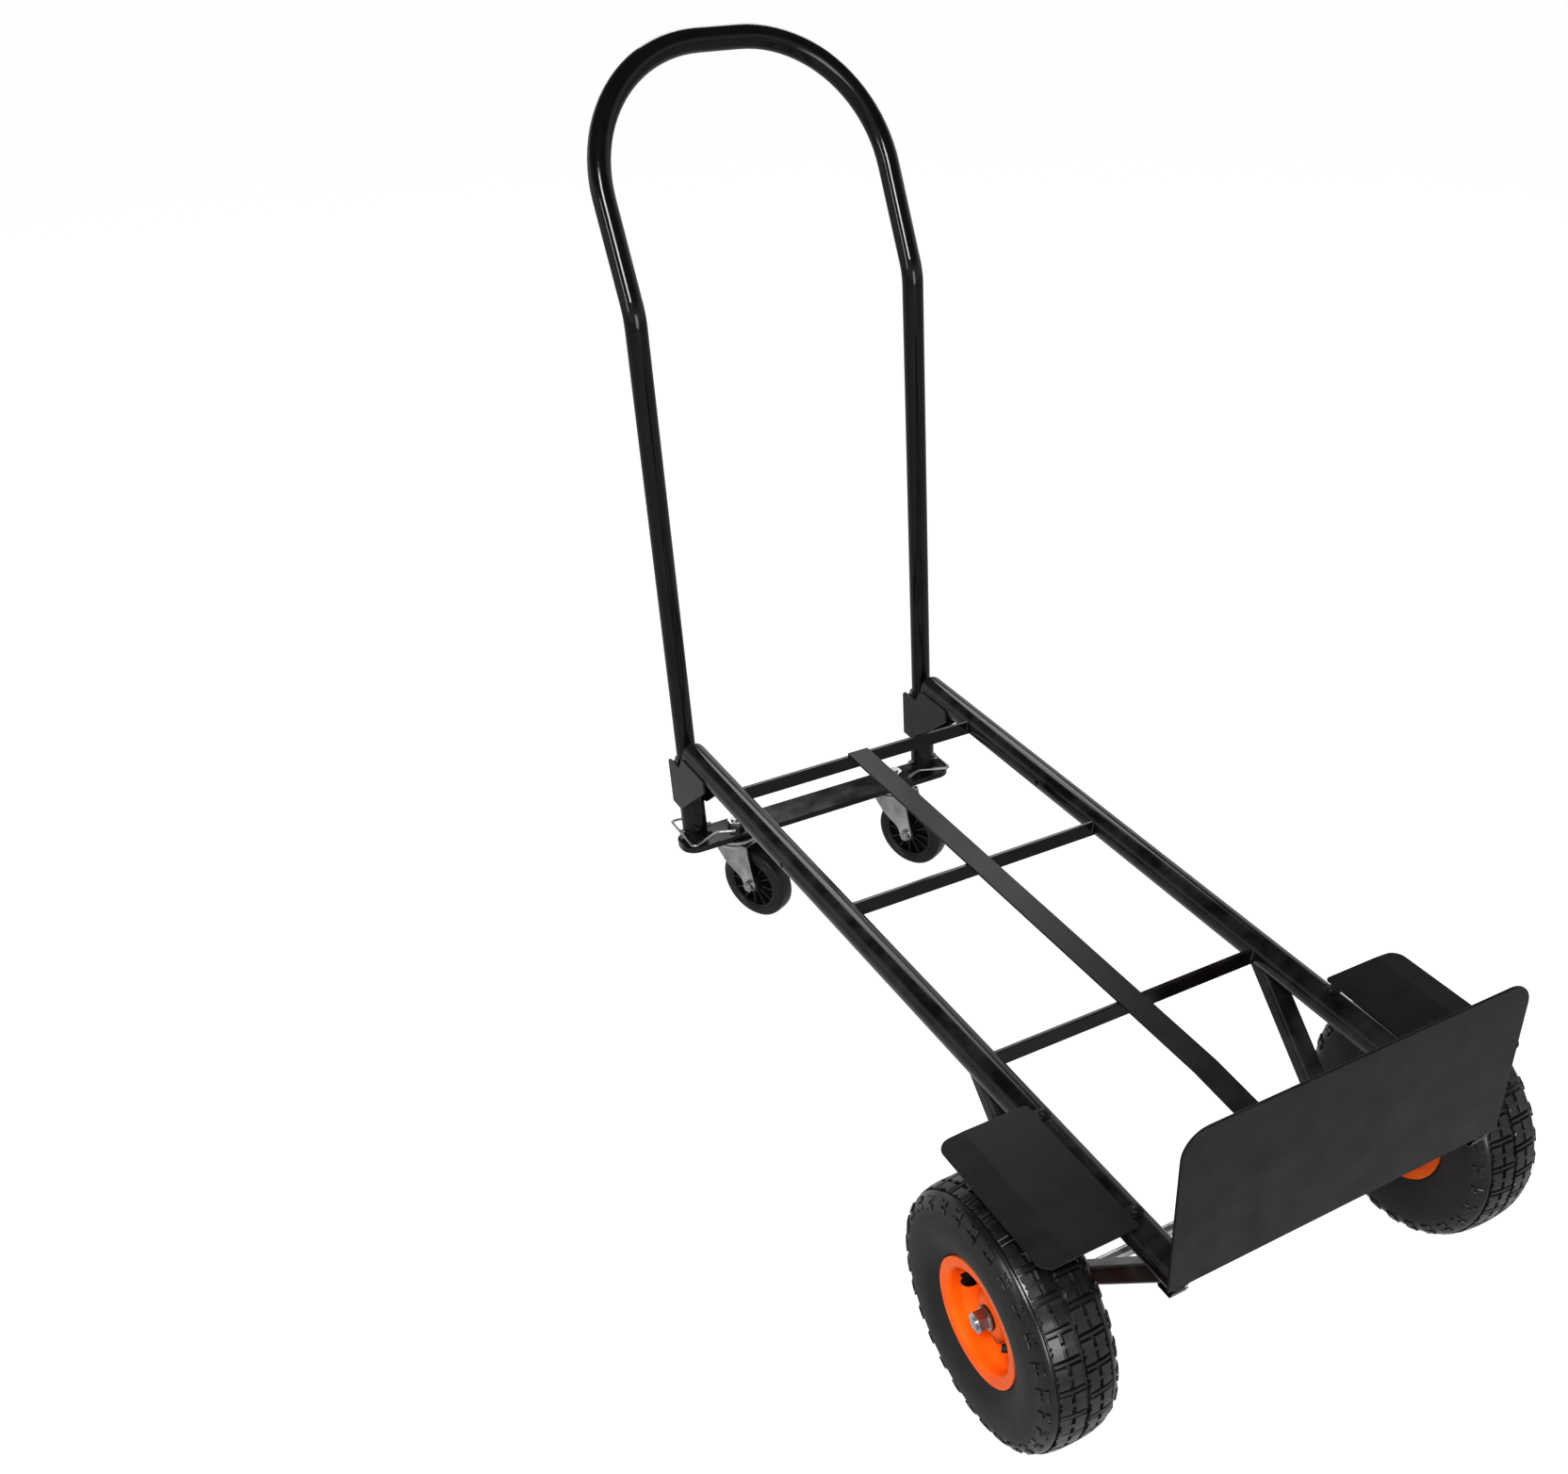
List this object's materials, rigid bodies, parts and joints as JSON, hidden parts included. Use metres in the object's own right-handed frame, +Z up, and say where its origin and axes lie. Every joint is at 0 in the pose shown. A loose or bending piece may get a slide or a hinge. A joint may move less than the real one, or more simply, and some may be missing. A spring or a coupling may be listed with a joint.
{
  "type": "convertible hand truck",
  "caption": "Tubular steel hand truck set up as a platform cart: lean-back handle in upright sockets, toe plate, two pneumatic wheels under fenders and two swivel casters.",
  "frame": {"origin": "on the floor under the middle of the truck's length and width", "axes": "+X towards the toe plate, +Y to the left-hand rail, +Z up"},
  "size_m": [1.1588, 0.5928, 1.0424],
  "materials": {
    "gloss_black_paint": "gloss black powder coat",
    "satin_black_paint": "satin black powder coat",
    "orange_paint": "gloss orange enamel",
    "zinc_plate": "bright zinc plating",
    "tyre_rubber": "moulded black rubber",
    "caster_rubber": "smooth black rubber",
    "black_plastic": "moulded black plastic"
  },
  "bodies": {
    "frame": {"rail_right": "gloss_black_paint", "rail_left": "gloss_black_paint", "crossbar_head": "gloss_black_paint", "crossbar_middle": "gloss_black_paint", "crossbar_toe": "gloss_black_paint", "centre_strap": "satin_black_paint", "toe_plate": "satin_black_paint", "fender_right": "satin_black_paint", "fender_left": "satin_black_paint", "fender_bolts": "zinc_plate", "strut_rear_right": "gloss_black_paint", "strut_rear_left": "gloss_black_paint", "strut_front_right": "gloss_black_paint", "strut_front_left": "gloss_black_paint", "axle": "zinc_plate", "axle_nuts": "zinc_plate", "axle_washers": "zinc_plate", "axle_spacers": "gloss_black_paint", "socket_right": "gloss_black_paint", "socket_left": "gloss_black_paint", "gusset_right": "gloss_black_paint", "gusset_left": "gloss_black_paint", "caster_bar": "gloss_black_paint", "rail_bushes": "black_plastic", "socket_bushes": "black_plastic", "kingpins": "zinc_plate", "kingpin_nuts": "zinc_plate", "swivel_cups": "zinc_plate"},
    "handle": {"handle": "gloss_black_paint"},
    "clip_right": {"clip_right": "zinc_plate"},
    "wheel_right": {"tyre_right": "tyre_rubber", "inner_tube_right": "tyre_rubber", "rim_outer_right": "orange_paint", "rim_inner_right": "orange_paint", "hub_right": "orange_paint", "hub_bushes_right": "black_plastic"},
    "caster_right": {"caster_fork_right": "zinc_plate", "ball_race_right": "zinc_plate", "caster_axle_right": "zinc_plate", "caster_sleeve_right": "zinc_plate"},
    "caster_wheel_right": {"caster_tyre_right": "caster_rubber", "caster_core_right": "black_plastic"},
    "clip_left": {"clip_left": "zinc_plate"},
    "wheel_left": {"tyre_left": "tyre_rubber", "inner_tube_left": "tyre_rubber", "rim_outer_left": "orange_paint", "rim_inner_left": "orange_paint", "hub_left": "orange_paint", "hub_bushes_left": "black_plastic"},
    "caster_left": {"caster_fork_left": "zinc_plate", "ball_race_left": "zinc_plate", "caster_axle_left": "zinc_plate", "caster_sleeve_left": "zinc_plate"},
    "caster_wheel_left": {"caster_tyre_left": "caster_rubber", "caster_core_left": "black_plastic"}
  },
  "joints": [
    {"name": "handle_lift", "type": "slide", "parent": "frame", "child": "handle", "axis": [0, 0, 1], "range_m": [0, 0.16]},
    {"name": "clip_right_pull", "type": "slide", "parent": "frame", "child": "clip_right", "axis": [0, -1, 0], "range_m": [0, 0.045]},
    {"name": "clip_left_pull", "type": "slide", "parent": "frame", "child": "clip_left", "axis": [0, 1, 0], "range_m": [0, 0.045]},
    {"name": "wheel_right_spin", "type": "hinge", "parent": "frame", "child": "wheel_right", "pos_m": [0.43841, -0.254, 0.13], "axis": [0, 1, 0], "continuous": true},
    {"name": "wheel_left_spin", "type": "hinge", "parent": "frame", "child": "wheel_left", "pos_m": [0.43841, 0.254, 0.13], "axis": [0, 1, 0], "continuous": true},
    {"name": "caster_right_swivel", "type": "hinge", "parent": "frame", "child": "caster_right", "pos_m": [-0.44159, -0.12, 0.1115], "axis": [0, 0, 1], "continuous": true},
    {"name": "caster_left_swivel", "type": "hinge", "parent": "frame", "child": "caster_left", "pos_m": [-0.44159, 0.12, 0.1115], "axis": [0, 0, 1], "continuous": true},
    {"name": "caster_right_roll", "type": "hinge", "parent": "caster_right", "child": "caster_wheel_right", "pos_m": [-0.41463, -0.10685, 0.05], "axis": [-0.4384, 0.8988, 0], "continuous": true},
    {"name": "caster_left_roll", "type": "hinge", "parent": "caster_left", "child": "caster_wheel_left", "pos_m": [-0.41463, 0.13315, 0.05], "axis": [-0.4384, 0.8988, 0], "continuous": true}
  ]
}
